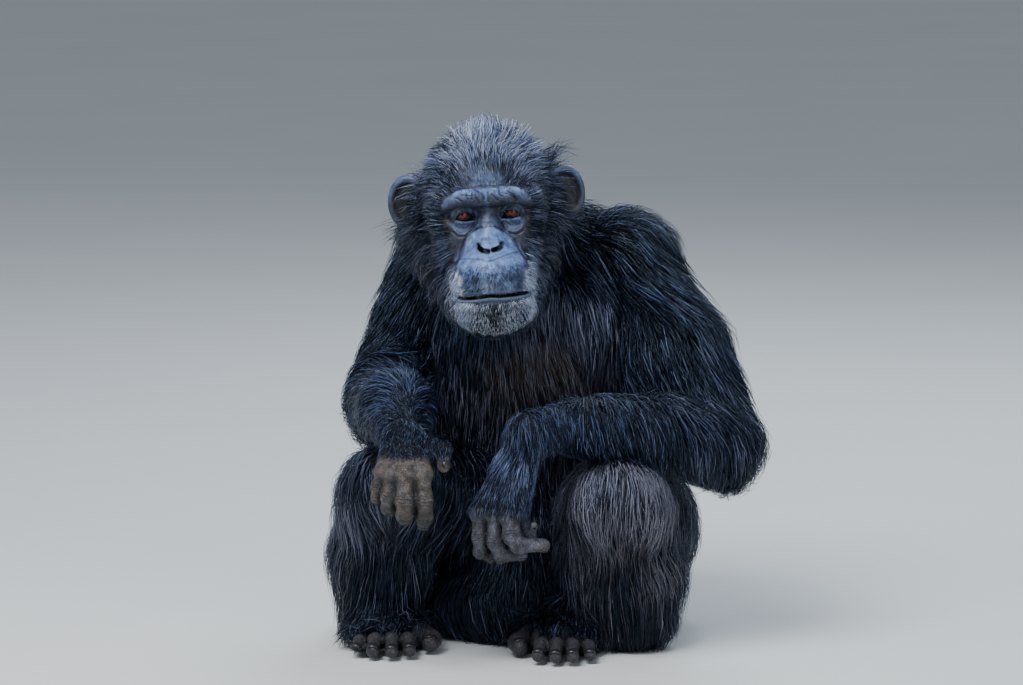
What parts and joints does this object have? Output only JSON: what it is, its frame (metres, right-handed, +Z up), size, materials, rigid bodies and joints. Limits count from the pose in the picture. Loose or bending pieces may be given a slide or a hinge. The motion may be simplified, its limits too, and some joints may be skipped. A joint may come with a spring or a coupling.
{
  "type": "seated chimpanzee model",
  "caption": "Life-size still model of a seated adult chimpanzee, knees drawn up, forearms resting on the knees and hands hanging, resting on its rump and feet.",
  "frame": {"origin": "on the floor, under the middle of the bounding box", "axes": "+Z up; the animal faces -Y, turned a little towards -X; its left side is at +X"},
  "size_m": [0.5247, 0.5378, 0.6348],
  "materials": {
    "coat": "long black hair with a low sheen",
    "face": "bare grey-black skin, soft sheen",
    "hand": "dry wrinkled grey skin",
    "eye": "wet, glossy"
  },
  "bodies": {
    "root": {"head": "face", "lower_jaw": "face", "ear_left": "face", "ear_right": "face", "eye_left": "eye", "eye_right": "eye", "neck": "coat", "chest": "coat", "abdomen": "coat", "upper_arm_left": "coat", "upper_arm_right": "coat", "forearm_left": "coat", "forearm_right": "coat", "hand_left": "hand", "hand_right": "hand", "thumb_left": "hand", "thumb_right": "hand", "index_finger_left": "hand", "index_finger_right": "hand", "middle_finger_left": "hand", "middle_finger_right": "hand", "ring_finger_left": "hand", "ring_finger_right": "hand", "little_finger_left": "hand", "little_finger_right": "hand", "thigh_left": "coat", "thigh_right": "coat", "shank_left": "coat", "shank_right": "coat", "foot_left": "hand", "foot_right": "hand", "big_toe_left": "hand", "big_toe_right": "hand", "second_toe_left": "hand", "second_toe_right": "hand", "third_toe_left": "hand", "third_toe_right": "hand", "fourth_toe_left": "hand", "fourth_toe_right": "hand", "fifth_toe_left": "hand", "fifth_toe_right": "hand"}
  },
  "joints": []
}
